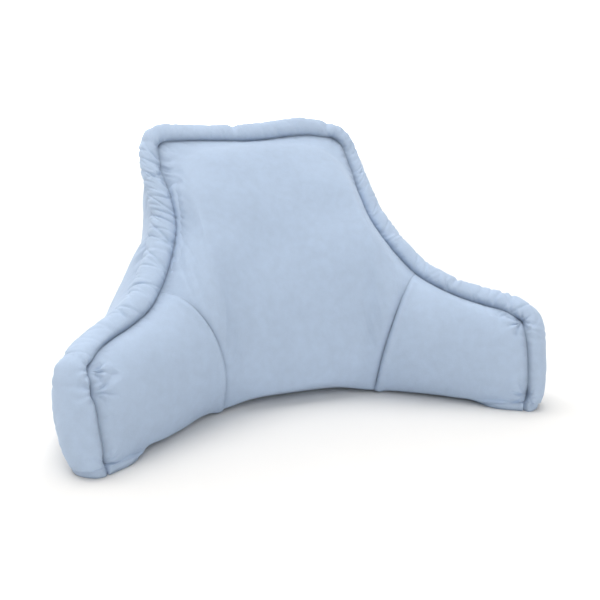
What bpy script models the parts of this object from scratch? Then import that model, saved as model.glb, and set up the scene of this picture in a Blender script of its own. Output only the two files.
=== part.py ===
"""Orthopedic bed-rest cushion: a leaning back rest with two splayed arms, sewn from velvet panels.

Metres, +Z up. The lap side faces -Y. The origin is on the floor under the middle of the cushion.
All pieces are cut from one bent grid, so neighbours share their sides and keep a small gap.
"""
import math

import bmesh
import bpy
import numpy as np
from mathutils import Vector

OBJECT_NAME = "bed_rest_cushion"

# Driving sizes
GAP = 0.0004
BASE_HEIGHT = 0.006
ARM_BASE_LIFT = 0.008
BASE_TUCK = 0.004
BOXING_WIDTH = 0.070
BOXING_PUFF = 0.028
BOXING_HOLLOW = 0.012
FLOOR_ROUND = 0.10
FLOOR_ROUND_HEIGHT = 0.030
BOXING_LIFT_TOP = 12.0
BOXING_LIFT_ARM = -10.0
TOP_SEAM_HEIGHT = 0.443
ARM_SEAM_HEIGHT = 0.160
ARM_END_BOW = 0.010
ARM_SEAM_DRAW = 0.008
ARM_SEAM_REACH = 0.014
ARM_SEAM_ROW = 9

# Fineness of the shared grid
CENTRE_STEPS = 50
ARM_STEPS = 14
RISE_STEPS = 12
ARC_STEPS = 8
DEPTH_LEVELS = (0.0, 0.2, 0.45, 0.75, 1.0)
PANEL_LEVEL = 2
ARM_EASE = 0.6
CENTRE_EASE = 0.3
RISE_EASE = 1.0
EASE_PASSES = 24

# How the front and the filling keep under the boxing: the least drop from row to row at each depth level
# but the back, and how many rows it is kept for
INNER_ROW_DROPS = np.array((0.002, 0.005, 0.005, 0.005))
INNER_ROWS = 6

# How closely the shape changes keep to the arm ends, as powers of the way out from the middle
ARM_BASE_POWER = 8
ARM_BOW_POWER = 12
HOLLOW_POWER = 8

SHARP_ANGLE = 40.0
MERGE_DISTANCE = 1e-6
VELVET_BLUE = (0.430, 0.545, 0.720, 1.0)
VELVET_ROUGHNESS = 0.85

# One row per section, from the middle of the cushion to the end of an arm: where the front meets the base,
# the front boxing seam, where the back meets the base, the crown of the front with its powers below and
# above its fullest place, the bulge of the back, and the plan turn of the front, the boxing and the back
COLUMNS = (
    "foot_x", "foot_y", "seam_x", "seam_y", "seam_z", "heel_x", "heel_y",
    "crown", "low", "high", "bulge", "face", "flare", "tail",
)
SECTIONS = (
    (0.000, -0.071, 0.000, 0.185, 0.443, 0.000, 0.230, 0.080, 0.35, 0.50, 0.020, 0, 0, 0),
    (0.040, -0.070, 0.090, 0.185, 0.445, 0.090, 0.222, 0.088, 0.38, 0.50, 0.020, 0, 2, 5),
    (0.068, -0.071, 0.148, 0.184, 0.443, 0.155, 0.207, 0.100, 0.50, 0.60, 0.022, 1, 5, 12),
    (0.081, -0.073, 0.173, 0.178, 0.440, 0.196, 0.190, 0.112, 0.62, 0.90, 0.022, 2, 10, 20),
    (0.090, -0.075, 0.185, 0.131, 0.394, 0.217, 0.175, 0.109, 0.68, 0.80, 0.014, 4, 20, 32),
    (0.101, -0.078, 0.179, 0.077, 0.347, 0.248, 0.150, 0.100, 0.72, 0.60, 0.020, 8, 28, 42),
    (0.111, -0.081, 0.179, 0.029, 0.303, 0.284, 0.120, 0.090, 0.76, 0.52, 0.034, 14, 30, 48),
    (0.120, -0.084, 0.190, -0.005, 0.271, 0.309, 0.092, 0.082, 0.80, 0.52, 0.040, 21, 30, 52),
    (0.130, -0.087, 0.207, -0.040, 0.238, 0.325, 0.062, 0.077, 0.83, 0.52, 0.034, 29, 31, 54),
    (0.141, -0.090, 0.227, -0.073, 0.209, 0.342, 0.030, 0.075, 0.85, 0.52, 0.030, 36, 33, 55),
    (0.176, -0.102, 0.254, -0.116, 0.188, 0.362, -0.020, 0.060, 0.80, 0.52, 0.026, 38, 35, 55),
    (0.215, -0.125, 0.285, -0.140, 0.173, 0.375, -0.060, 0.050, 0.75, 0.52, 0.024, 38, 36, 52),
    (0.252, -0.170, 0.315, -0.161, 0.162, 0.383, -0.105, 0.044, 0.70, 0.52, 0.022, 38, 38, 48),
    (0.290, -0.229, 0.336, -0.194, 0.155, 0.385, -0.150, 0.034, 0.70, 0.52, 0.018, 38, 39, 45),
    (0.336, -0.260, 0.348, -0.217, 0.144, 0.379, -0.203, 0.010, 0.60, 0.52, 0.010, 38, 39, 40),
)
MIRROR_SIGNS = np.array((-1, 1, -1, 1, 1, -1, 1, 1, 1, 1, 1, -1, -1, -1), float)
UP = np.array((0.0, 0.0, 1.0))

# One row per uneven place: where along the seam, how far the seam strays, the extra puff, and its reach
STRAY_COLUMNS = ("along", "dx", "dy", "dz", "puff", "reach")
STRAYS = (
    (0.120, 0.000, 0.000, 0.009, 0.000, 0.070),
    (-0.080, 0.000, 0.000, -0.002, -0.004, 0.090),
    (-0.690, 0.000, 0.000, 0.000, -0.010, 0.090),
    (0.290, 0.000, 0.000, 0.000, -0.003, 0.070),
    (0.720, 0.003, 0.000, 0.002, 0.005, 0.070),
)

# One row per pinch of the boxing: where along the seam, how deep as a share of the puff, and its reach
PINCH_COLUMNS = ("along", "depth", "reach")
PINCHES = (
    (-0.745, 0.14, 0.016),
    (-0.372, 0.16, 0.018),
    (-0.200, 0.12, 0.018),
    (-0.031, 0.16, 0.018),
    (0.160, 0.14, 0.018),
    (0.600, 0.14, 0.014),
    (0.735, 0.12, 0.016),
)


def blend_rows(rows, knots, at):
    """Rows read at a place between the knots, along one smooth curve through them."""
    slopes = np.gradient(rows, knots, axis=0)
    i = int(np.clip(np.searchsorted(knots, at) - 1, 0, len(knots) - 2))
    span = knots[i + 1] - knots[i]
    t = (at - knots[i]) / span
    return (
        (1 + 2 * t) * (1 - t) ** 2 * rows[i]
        + t * (1 - t) ** 2 * span * slopes[i]
        + t * t * (3 - 2 * t) * rows[i + 1]
        - t * t * (1 - t) * span * slopes[i + 1]
    )


def eased(start, end, steps, ease):
    """Places from start to end, closer together near both ends as ease goes from 0 to 1."""
    even = np.linspace(0.0, 1.0, steps + 1)
    drawn = (1 - np.cos(math.pi * even)) / 2
    return start + (end - start) * ((1 - ease) * even + ease * drawn)


def unit(vector):
    return vector / np.linalg.norm(vector)


def plan_direction(turn):
    """The way from the lap to the back, turned outwards by some degrees."""
    angle = math.radians(turn)
    return np.array((math.sin(angle), math.cos(angle), 0.0))


def plump(rise, low, high):
    """The swell of a filled panel, 0 at both seams and 1 at its fullest; a low power fills that end."""
    fullest = low / (low + high)
    top = fullest ** low * (1 - fullest) ** high
    return max(rise, 0.0) ** low * max(1 - rise, 0.0) ** high / top


def stray(at, columns):
    """What the uneven places add up to at one place along the seam, for the named columns."""
    total = np.zeros(len(columns))
    for row in STRAYS:
        bump = dict(zip(STRAY_COLUMNS, row))
        away = (at - bump["along"]) / bump["reach"]
        total += math.exp(-away * away) * np.array([bump[column] for column in columns])
    return total


def standing_out(low, high, side, rise, amount):
    """A point part of the way from low to high, pushed out square to that line by an amount."""
    line = high - low
    square = line[2] * side - float(line @ side) * UP
    return low + rise * line + amount * unit(square)


class Grid:
    """The bent grid of the filled cushion: sections i, heights j and depth levels k."""

    def __init__(self):
        half = np.array(SECTIONS)
        rows = np.vstack((half[:0:-1] * MIRROR_SIGNS, half))
        seam = rows[:, 2:5]
        run = np.concatenate(([0.0], np.cumsum(np.linalg.norm(np.diff(seam, axis=0), axis=1))))
        run -= run[-1] / 2
        self.arm_end = run[-1]
        self.arm_seam = run[len(half) - 1 + ARM_SEAM_ROW]
        self.stations = np.concatenate((
            eased(-self.arm_end, -self.arm_seam, ARM_STEPS, ARM_EASE),
            eased(-self.arm_seam, self.arm_seam, CENTRE_STEPS, CENTRE_EASE)[1:],
            eased(self.arm_seam, self.arm_end, ARM_STEPS, ARM_EASE)[1:],
        ))
        self.last = len(self.stations) - 1
        self.top = RISE_STEPS + 1
        lines = [self.section_lines(blend_rows(rows, run, at), at) for at in self.stations]
        self.front = np.array([pair[0] for pair in lines])
        self.back = np.array([pair[1] for pair in lines])
        between = slice(2, self.top)
        seams = (ARM_STEPS, ARM_STEPS + CENTRE_STEPS)
        self.front[:, between] = self.eased_sections(self.front[:, between], seams)
        self.path = self.boxing_path()
        self.outward = self.boxing_directions()
        self.points = self.filled()

    def section_lines(self, row, at):
        """The front and the back line of one section, each from the floor up to its boxing seam."""
        value = dict(zip(COLUMNS, row))
        face, flare, tail = (plan_direction(value[turn]) for turn in ("face", "flare", "tail"))
        side = np.array((flare[1], -flare[0], 0.0)) * math.copysign(1.0, at)
        climb = (value["seam_z"] - ARM_SEAM_HEIGHT) / (TOP_SEAM_HEIGHT - ARM_SEAM_HEIGHT)
        lift = math.radians(BOXING_LIFT_ARM + climb * (BOXING_LIFT_TOP - BOXING_LIFT_ARM))
        height = BASE_HEIGHT + ARM_BASE_LIFT * (at / self.arm_end) ** ARM_BASE_POWER
        foot = np.array((value["foot_x"], value["foot_y"], height))
        heel = np.array((value["heel_x"], value["heel_y"], height))
        seam = np.array((value["seam_x"], value["seam_y"], value["seam_z"])) + stray(at, ("dx", "dy", "dz"))
        rear = seam + BOXING_WIDTH * (math.cos(lift) * flare + math.sin(lift) * UP)
        from_arm_seam = (abs(at) - self.arm_seam) / ARM_SEAM_REACH
        crown = value["crown"] - ARM_SEAM_DRAW * math.exp(-from_arm_seam ** 2)
        front = [foot - height * UP + BASE_TUCK * face]
        back = [heel - height * UP - BASE_TUCK * tail]
        for rise in eased(0.0, 1.0, RISE_STEPS, RISE_EASE):
            swell = plump(rise, 0.5, 0.5)
            bow = ARM_END_BOW * abs(at / self.arm_end) ** ARM_BOW_POWER * swell * side
            crowned = crown * plump(rise, value["low"], value["high"])
            front.append(standing_out(foot, seam, -face, rise, crowned) + bow)
            back.append(standing_out(heel, rear, tail, rise, value["bulge"] * swell) + bow)
        return front, back

    def eased_sections(self, rows, held=()):
        """Values of every section eased into those of the next ones, but for the held sections."""
        for _ in range(EASE_PASSES):
            before = rows.copy()
            rows[1:-1] = (before[:-2] + 2 * before[1:-1] + before[2:]) / 4
            for i in held:
                rows[i] = before[i]
        return rows

    def boxing_path(self):
        """Section and height of every boxing station, up one arm end, along the top and down the other."""
        up = [(0, j) for j in range(self.top)]
        across = [(i, self.top) for i in range(self.last + 1)]
        down = [(self.last, j) for j in reversed(range(self.top))]
        return up + across + down

    def boxing_directions(self):
        """The way the boxing puffs at each station: square to its width and its run, level on the floor."""
        middles = np.array([(self.front[i, j] + self.back[i, j]) / 2 for i, j in self.path])
        runs = np.gradient(middles, axis=0)
        directions = {}
        for (i, j), run in zip(self.path, runs):
            way = np.cross(run, self.back[i, j] - self.front[i, j])
            directions[i, j] = unit(way * (1, 1, min(j, 1)))
        return directions

    def filled(self):
        """Every grid point: the boxing's inner side hollowed, the front and the filling kept under it."""
        depth = np.array(DEPTH_LEVELS)[:, None]
        points = (1 - depth) * self.front[:, :, None] + depth * self.back[:, :, None]
        outward = np.array([self.outward[i, self.top] for i in range(self.last + 1)])
        hollow = BOXING_HOLLOW * (1 - (self.stations / self.arm_end) ** HOLLOW_POWER)
        points[:, self.top] -= hollow[:, None, None] * 4 * depth * (1 - depth) * outward[:, None]
        for j in range(self.top - 1, self.top - INNER_ROWS, -1):
            row = points[:, j, :-1]
            over = np.einsum("ikx,ix->ik", row - points[:, j + 1, :-1], outward) + INNER_ROW_DROPS
            drop = self.eased_sections(np.maximum(over, 0.0))
            drop[[0, -1]] = 0.0
            row -= drop[:, :, None] * outward[:, None]
        return points

    def point(self, i, j, k):
        return self.points[i, j, k]

    def depth_direction(self, i, j, k):
        return unit(self.points[i, j, k + 1] - self.points[i, j, k - 1])

    def side_direction(self, i, j, k):
        return unit(self.point(i + 1, j, k) - self.point(i - 1, j, k))


def split_quads(bm, rank):
    """Split every quad from its lowest-ranked corner, so that facing sides of neighbours match."""
    for face in list(bm.faces):
        corners = list(face.verts)
        low = min(range(4), key=lambda n: rank(corners[n]))
        bmesh.utils.face_split(face, corners[low], corners[(low + 2) % 4])


def add_object(name, bm, collection, material):
    """One named piece from its bmesh, shaded smooth but for its sewn edges."""
    bmesh.ops.recalc_face_normals(bm, faces=bm.faces[:])
    mesh = bpy.data.meshes.new(name)
    bm.to_mesh(mesh)
    bm.free()
    mesh.shade_smooth()
    mesh.set_sharp_from_angle(angle=math.radians(SHARP_ANGLE))
    mesh.materials.append(material)
    piece = bpy.data.objects.new(name, mesh)
    collection.objects.link(piece)
    return piece


def add_block(name, grid, spans, collection, material):
    """A piece that fills the grid between the given sections, heights and depth levels."""
    (i0, i1), (j0, j1), (k0, k1) = spans
    bm = bmesh.new()
    bmesh.ops.create_grid(bm, x_segments=i1 - i0, y_segments=k1 - k0, size=1.0)
    made = bmesh.ops.extrude_face_region(bm, geom=bm.faces[:])
    for vert in made["geom"]:
        if isinstance(vert, bmesh.types.BMVert):
            vert.co.z = 1.0
    if j1 - j0 > 1:
        risers = [edge for edge in bm.edges if abs(edge.verts[0].co.z - edge.verts[1].co.z) > 0.5]
        bmesh.ops.subdivide_edges(bm, edges=risers, cuts=j1 - j0 - 1)
    for vert in bm.verts:
        vert.co.x = i0 + round((vert.co.x + 1) / 2 * (i1 - i0))
        vert.co.y = k0 + round((vert.co.y + 1) / 2 * (k1 - k0))
        vert.co.z = j0 + round(vert.co.z * (j1 - j0))
    split_quads(bm, lambda vert: sum(vert.co))
    for vert in bm.verts:
        i, k, j = (round(value) for value in vert.co)
        place = grid.point(i, j, k)
        if (i, j) in grid.outward:
            place = place - GAP * grid.outward[i, j]
        if j == 1 and j1 > 1:
            place = place + GAP * UP
        if k == PANEL_LEVEL and (k0, k1) != (0, len(DEPTH_LEVELS) - 1):
            sign = 1 if k == k0 else -1
            place = place + sign * GAP / 2 * grid.depth_direction(i, j, k)
        if i in (i0, i1) and 0 < i < grid.last:
            sign = 1 if i == i0 else -1
            place = place + sign * GAP / 2 * grid.side_direction(i, j, k)
        vert.co = place
    return add_object(name, bm, collection, material)


def pinch_depth(along):
    """The share of the puff that the boxing loses to its pinches at one place along the seam."""
    total = 0.0
    for row in PINCHES:
        pinch = dict(zip(PINCH_COLUMNS, row))
        away = (along - pinch["along"]) / pinch["reach"]
        total += pinch["depth"] * math.exp(-away * away)
    return total


def boxing_ring(grid, i, j):
    """The closed outline of the boxing at one station: flat inside, round outside."""
    front = grid.front[i, j]
    back = grid.back[i, j]
    drop = grid.front[i, grid.top][2] - front[2]
    along = grid.stations[i] + math.copysign(drop, grid.stations[i])
    near_floor = max(0.0, 1 - front[2] / FLOOR_ROUND_HEIGHT)
    puff = BOXING_PUFF + float(stray(along, ("puff",))[0])
    puff *= (1 - pinch_depth(along)) * (1 - FLOOR_ROUND * near_floor ** 2)
    inside = [grid.point(i, j, k) for k in range(len(DEPTH_LEVELS))]
    outside = []
    for step in range(ARC_STEPS - 1, 0, -1):
        turn = math.pi * step / ARC_STEPS
        across = (1 - math.cos(turn)) / 2
        outside.append(front + across * (back - front) + puff * math.sin(turn) * grid.outward[i, j])
    return inside + outside


def add_boxing(name, grid, collection, material):
    """The puffed strip that runs round the cushion from floor to floor."""
    rings = [boxing_ring(grid, i, j) for i, j in grid.path]
    around = len(rings[0])
    bm = bmesh.new()
    bmesh.ops.create_grid(bm, x_segments=len(rings) - 1, y_segments=around, size=1.0)
    for vert in bm.verts:
        vert.co.x = round((vert.co.x + 1) / 2 * (len(rings) - 1))
        vert.co.y = round((vert.co.y + 1) / 2 * around)

    def rank(vert):
        station, step = round(vert.co.x), round(vert.co.y)
        i, j = grid.path[station]
        return i + j + step

    split_quads(bm, rank)
    for vert in bm.verts:
        station, step = round(vert.co.x), round(vert.co.y)
        vert.co = rings[station][step % around]
    bmesh.ops.remove_doubles(bm, verts=bm.verts[:], dist=MERGE_DISTANCE)
    bmesh.ops.holes_fill(bm, edges=[edge for edge in bm.edges if edge.is_boundary], sides=0)
    return add_object(name, bm, collection, material)


def centre_on_origin(pieces):
    """Move the pieces so that the origin is on the floor under the middle of their overall box."""
    corners = np.array([vert.co for piece in pieces for vert in piece.data.vertices])
    low, high = corners.min(axis=0), corners.max(axis=0)
    middle = Vector(((low[0] + high[0]) / 2, (low[1] + high[1]) / 2, low[2]))
    for piece in pieces:
        for vert in piece.data.vertices:
            vert.co -= middle


def velvet(name):
    """Short-pile velvet in the cushion's powder blue."""
    material = bpy.data.materials.new(name)
    material.use_nodes = True
    shader = material.node_tree.nodes["Principled BSDF"]
    shader.inputs["Base Color"].default_value = VELVET_BLUE
    shader.inputs["Roughness"].default_value = VELVET_ROUGHNESS
    shader.inputs["Metallic"].default_value = 0.0
    return material


def main():
    for item in list(bpy.data.objects):
        bpy.data.objects.remove(item, do_unlink=True)
    collection = bpy.data.collections.new(OBJECT_NAME)
    bpy.context.scene.collection.children.link(collection)
    grid = Grid()
    deep = len(DEPTH_LEVELS) - 1
    left, right = ARM_STEPS, ARM_STEPS + CENTRE_STEPS
    rise = (1, grid.top)
    blocks = {
        "front_centre": ((left, right), rise, (0, PANEL_LEVEL)),
        "arm_left": ((0, left), rise, (0, PANEL_LEVEL)),
        "arm_right": ((right, grid.last), rise, (0, PANEL_LEVEL)),
        "back_panel": ((0, grid.last), rise, (PANEL_LEVEL, deep)),
        "base_panel": ((0, grid.last), (0, 1), (0, deep)),
    }
    pieces = [
        add_block(name, grid, spans, collection, velvet(name + "_velvet")) for name, spans in blocks.items()
    ]
    pieces.append(add_boxing("boxing_strip", grid, collection, velvet("boxing_strip_velvet")))
    centre_on_origin(pieces)


main()
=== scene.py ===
"""Velvet bed-rest cushion with two splayed arms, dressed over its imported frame.

Metres, +Z up. The lap side faces -Y. Left and right are as seen from the lap side.
"""
import math
import bmesh
import bpy
import numpy as np
from bpy.props import FloatProperty, FloatVectorProperty, IntProperty, PointerProperty
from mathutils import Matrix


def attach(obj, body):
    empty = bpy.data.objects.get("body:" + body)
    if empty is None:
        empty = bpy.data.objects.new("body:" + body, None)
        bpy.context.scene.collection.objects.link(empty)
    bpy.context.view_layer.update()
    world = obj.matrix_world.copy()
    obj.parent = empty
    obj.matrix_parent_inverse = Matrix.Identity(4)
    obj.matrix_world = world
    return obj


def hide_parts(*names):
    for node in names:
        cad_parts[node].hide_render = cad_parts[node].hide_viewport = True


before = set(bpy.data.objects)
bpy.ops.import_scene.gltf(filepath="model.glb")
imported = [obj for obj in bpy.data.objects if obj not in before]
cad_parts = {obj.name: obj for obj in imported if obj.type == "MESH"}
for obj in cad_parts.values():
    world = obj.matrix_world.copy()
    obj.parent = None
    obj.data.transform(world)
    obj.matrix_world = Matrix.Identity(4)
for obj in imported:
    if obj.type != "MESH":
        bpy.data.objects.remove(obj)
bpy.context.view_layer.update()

bl_info = {
    "name": "Velvet Bed-Rest Cushion",
    "version": (1, 0, 0),
    "blender": (4, 5, 0),
    "location": "3D View > Sidebar > Cushion",
    "description": "Builds a velvet bed-rest cushion with splayed arms, a puffed boxing and sewn gathers",
    "category": "Object",
}

# Sizes of the cut in metres, and the boxing's lift in degrees
BASE_HEIGHT = 0.006
ARM_BASE_LIFT = 0.008
ARM_BASE_POWER = 8
BASE_TUCK = 0.004
BOXING_WIDTH = 0.070
BOXING_PUFF = 0.028
BOXING_HOLLOW = 0.012
BOXING_LIFT_TOP = 12.0
BOXING_LIFT_ARM = -10.0
FLOOR_ROUND = 0.10
FLOOR_ROUND_HEIGHT = 0.030
TOP_SEAM_HEIGHT = 0.443
ARM_SEAM_HEIGHT = 0.160
ARM_SEAM_ROW = 9
ARM_SEAM_DRAW = 0.008
ARM_SEAM_REACH = 0.014
ARM_END_BOW = 0.010
ARM_BOW_POWER = 12
INNER_ROWS = 6
INNER_ROW_DROP = 0.002
MIDDLE = np.array((0.003353, -0.001265, 0.0))

# The front's lower edge, which turns under and drops, but near the arm ends, where the base shows
BARE_BASE_START = 0.660
BARE_BASE_FADE = 0.055
FRONT_TUCK = 0.028
FRONT_TUCK_HEIGHT = 0.0015
FRONT_DROP = 0.0065

# The back behind the left neck: how much its bulge thins out towards the seam, its place and its reach
NECK_HOLLOW = 1.6
NECK_PLACE = -0.27
NECK_REACH = 0.09

# Fineness of the shaping grid, and of the boxing and the back between its sections and rows
CENTRE_STEPS = 50
ARM_STEPS = 14
RISE_STEPS = 12
ARM_EASE = 0.6
CENTRE_EASE = 0.3
RISE_EASE = 1.0
EASE_PASSES = 24
BOXING_STEPS = (5, 8, 5)
BOXING_ARC_STEPS = 26
BACK_STEPS = 3
BACK_ROWS = 5

# Distances in metres over which things fade beside a seam, painted seam shade too, and how sharply a groove
# does
SHADE_REACH = 0.006
END_SHADE_REACH = 0.005
JOIN_SHADE_REACH = 0.003
SLACK_REACH = 0.06
LUMP_ONSET = 0.03
TIP_BLEND = 0.004
GROOVE_POWER = 1.3
JOIN_POWER = 1.2

# Seeds of the pleats along the front and the back seam, of the boxing's folds and of the lumps
FRONT_PLEATS = 11
BACK_PLEATS = 23
BOXING_FOLDS = 4
BOXING_LUMPS = 9
BACK_LUMPS = 13

# The boxing and the back: shares of the gathers and stars that reach them, feet, lumps and slant of pinches
FRONT_GATHER_SHARE = 0.45
BACK_GATHER_SHARE = 0.35
BOXING_GATHER_LENGTH = 0.018
BOXING_STAR_SHARE = 0.8
BOXING_STAR_END = 0.05
FOOT_SHARES = (0.0, 0.5)
FOOT_STEP = 0.006
BOXING_LUMP_SIZE = 0.05
BACK_LUMP_SIZE = 0.14
PINCH_SLANT = 0.15
PINCH_PIVOT = 0.05

# The pads: how full they are, the depth at their edges, and how steeply they thin out towards the ends
PAD_EDGE = 0.0006
PANEL_PAD_SLOPE = 16
BACK_PAD_SLOPE = 40

# The stage in metres and degrees: lights by elevation, azimuth and width
FLOOR_SIZE = 30.0
FLOOR_DROP = 0.0005
PAPER_COLOUR = (0.85, 0.836, 0.815, 1.0)
WALL_PLACE = 14.0
WALL_MIDDLE = 11.9
WALL_HALF_WIDTH = 40.0
WALL_HALF_HEIGHT = 12.0
WALL_GLOW = 0.9
OVERHEAD_LIGHT = (72.0, 188.0, 60.0)
FRONT_LIGHT = (33.0, -1.0, 62.0)
CAMERA_PLACE = (-0.39785, -1.17009, 0.44649)
CAMERA_AZIMUTH = -20.0
CAMERA_DIP = 12.907
CAMERA_LENS = 42.0
CAMERA_SENSOR = 36.0

# One row per section, from the middle of the cushion to the end of an arm: where the front meets the base,
# the front boxing seam, where the back meets the base, the crown of the front with its powers below and
# above its fullest place, the bulge of the back, and the plan turn of the front, the boxing and the back
COLUMNS = (
    "foot_x", "foot_y", "seam_x", "seam_y", "seam_z", "heel_x", "heel_y",
    "crown", "low", "high", "bulge", "face", "flare", "tail",
)
SECTIONS = (
    (0.000, -0.071, 0.000, 0.185, 0.443, 0.000, 0.230, 0.080, 0.35, 0.50, 0.020, 0, 0, 0),
    (0.040, -0.070, 0.090, 0.185, 0.445, 0.090, 0.222, 0.088, 0.38, 0.50, 0.020, 0, 2, 5),
    (0.068, -0.071, 0.148, 0.184, 0.443, 0.155, 0.207, 0.100, 0.50, 0.60, 0.022, 1, 5, 12),
    (0.081, -0.073, 0.173, 0.178, 0.440, 0.196, 0.190, 0.112, 0.62, 0.90, 0.022, 2, 10, 20),
    (0.090, -0.075, 0.185, 0.131, 0.394, 0.217, 0.175, 0.109, 0.68, 0.80, 0.014, 4, 20, 32),
    (0.101, -0.078, 0.179, 0.077, 0.347, 0.248, 0.150, 0.100, 0.72, 0.60, 0.020, 8, 28, 42),
    (0.111, -0.081, 0.179, 0.029, 0.303, 0.284, 0.120, 0.090, 0.76, 0.52, 0.034, 14, 30, 48),
    (0.120, -0.084, 0.190, -0.005, 0.271, 0.309, 0.092, 0.082, 0.80, 0.52, 0.040, 21, 30, 52),
    (0.130, -0.087, 0.207, -0.040, 0.238, 0.325, 0.062, 0.077, 0.83, 0.52, 0.034, 29, 31, 54),
    (0.141, -0.090, 0.227, -0.073, 0.209, 0.342, 0.030, 0.075, 0.85, 0.62, 0.030, 36, 33, 55),
    (0.176, -0.102, 0.254, -0.116, 0.188, 0.362, -0.020, 0.060, 0.80, 0.52, 0.026, 38, 35, 55),
    (0.215, -0.125, 0.285, -0.140, 0.173, 0.375, -0.060, 0.050, 0.75, 0.52, 0.024, 38, 36, 52),
    (0.252, -0.170, 0.315, -0.161, 0.162, 0.383, -0.105, 0.044, 0.70, 0.52, 0.022, 38, 38, 48),
    (0.290, -0.229, 0.336, -0.194, 0.155, 0.385, -0.150, 0.034, 0.70, 0.52, 0.018, 38, 39, 45),
    (0.336, -0.260, 0.348, -0.217, 0.144, 0.379, -0.203, 0.010, 0.60, 0.52, 0.010, 38, 39, 40),
)
MIRROR_SIGNS = np.array((-1, 1, -1, 1, 1, -1, 1, 1, 1, 1, 1, -1, -1, -1), float)
UP = np.array((0.0, 0.0, 1.0))
LEVEL = np.array((1.0, 1.0, 0.0))

# One row per front panel: its sides, the seed of its lumps, its fineness between sections and rows, the slack
# of its cloth, how much of the pressing out it keeps, and the width of its arm seam as a share of a groove's
PANEL_COLUMNS = ("sides", "seed", "steps", "rows", "slack", "swell", "join_width")
PANELS = {
    "front_centre": (("left_join", "right_join"), 3, 7, 5, 0.10, 0.25, 1.1),
    "arm_left": (("left_end", "right_join"), 5, 8, 8, 0.25, 0.80, 0.4),
    "arm_right": (("left_join", "right_end"), 7, 8, 8, 0.25, 0.80, 0.4),
}

# One row per uneven place: where along the seam, how far the seam strays, the extra puff, and its reach
STRAY_COLUMNS = ("along", "dx", "dy", "dz", "puff", "reach")
STRAYS = (
    (0.120, 0.000, 0.000, 0.009, 0.000, 0.070),
    (-0.080, 0.000, 0.000, -0.002, -0.004, 0.090),
    (-0.690, 0.000, 0.000, 0.000, -0.010, 0.090),
    (0.290, 0.000, 0.000, 0.000, -0.003, 0.070),
    (0.720, 0.003, 0.000, 0.002, 0.005, 0.070),
)

# One row per pinch of the boxing: where along the seam and across the strip, how deep in metres, and its
# reach both ways; across is 0 at the front seam and 1 at the back seam
PINCH_COLUMNS = ("along", "across", "depth", "reach", "spread")
PINCHES = (
    (-0.852, 0.78, 0.0050, 0.005, 0.010),
    (-0.805, 0.72, 0.0030, 0.016, 0.008),
    (-0.747, 0.10, 0.0050, 0.006, 0.012),
    (-0.722, 0.12, 0.0045, 0.005, 0.014),
    (-0.372, 0.85, 0.0080, 0.010, 0.030),
    (-0.300, 0.15, 0.0030, 0.007, 0.020),
    (-0.200, 0.30, 0.0035, 0.009, 0.040),
    (-0.168, 0.10, 0.0035, 0.006, 0.020),
    (-0.031, 0.40, 0.0050, 0.006, 0.050),
    (0.160, 0.35, 0.0045, 0.006, 0.040),
    (0.600, 0.50, 0.0040, 0.005, 0.050),
    (0.735, 0.12, 0.0045, 0.006, 0.016),
)

# One row per stretch of the front boxing seam: its middle, how strong the gathers are there on the panel and
# the folds on the boxing, how far the gathers run out on the panel, how they slant, and the stretch's reach
GATHER_COLUMNS = ("along", "panel", "roll", "length", "slant", "reach")
GATHERS = (
    (-0.860, 0.72, 0.6, 0.030, 0.00, 0.020),
    (-0.800, 0.48, 0.4, 0.030, 0.00, 0.025),
    (-0.765, 0.72, 0.4, 0.035, 0.10, 0.020),
    (-0.735, 0.72, 1.2, 0.035, 0.00, 0.018),
    (-0.700, 0.60, 1.4, 0.025, 0.30, 0.020),
    (-0.640, 0.30, 1.1, 0.016, 0.30, 0.040),
    (-0.560, 0.40, 1.4, 0.010, 0.30, 0.040),
    (-0.480, 0.30, 1.5, 0.010, 0.00, 0.040),
    (-0.410, 0.50, 2.0, 0.020, 0.10, 0.035),
    (-0.350, 0.60, 2.4, 0.040, 0.20, 0.030),
    (-0.290, 0.70, 2.4, 0.055, 0.25, 0.030),
    (-0.235, 0.80, 2.0, 0.050, 0.25, 0.025),
    (-0.190, 1.00, 2.2, 0.035, 0.10, 0.020),
    (-0.140, 0.80, 1.1, 0.018, 0.00, 0.030),
    (-0.060, 0.50, 0.7, 0.012, 0.00, 0.040),
    (0.040, 0.50, 0.6, 0.010, 0.00, 0.050),
    (0.120, 0.60, 0.9, 0.012, 0.00, 0.040),
    (0.180, 1.10, 2.2, 0.018, 0.00, 0.020),
    (0.240, 0.70, 1.5, 0.020, -0.30, 0.035),
    (0.320, 0.50, 1.3, 0.016, -0.20, 0.050),
    (0.430, 0.40, 1.1, 0.012, 0.00, 0.060),
    (0.540, 0.40, 1.0, 0.012, 0.00, 0.050),
    (0.630, 0.48, 1.4, 0.022, -0.20, 0.035),
    (0.690, 0.78, 2.0, 0.028, 0.00, 0.025),
    (0.735, 0.84, 1.4, 0.035, 0.00, 0.018),
    (0.790, 0.60, 0.5, 0.020, 0.00, 0.025),
    (0.855, 0.84, 0.6, 0.028, 0.00, 0.020),
)
GATHER_END = 1.0
GATHER_WIDENING = 0.02

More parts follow.
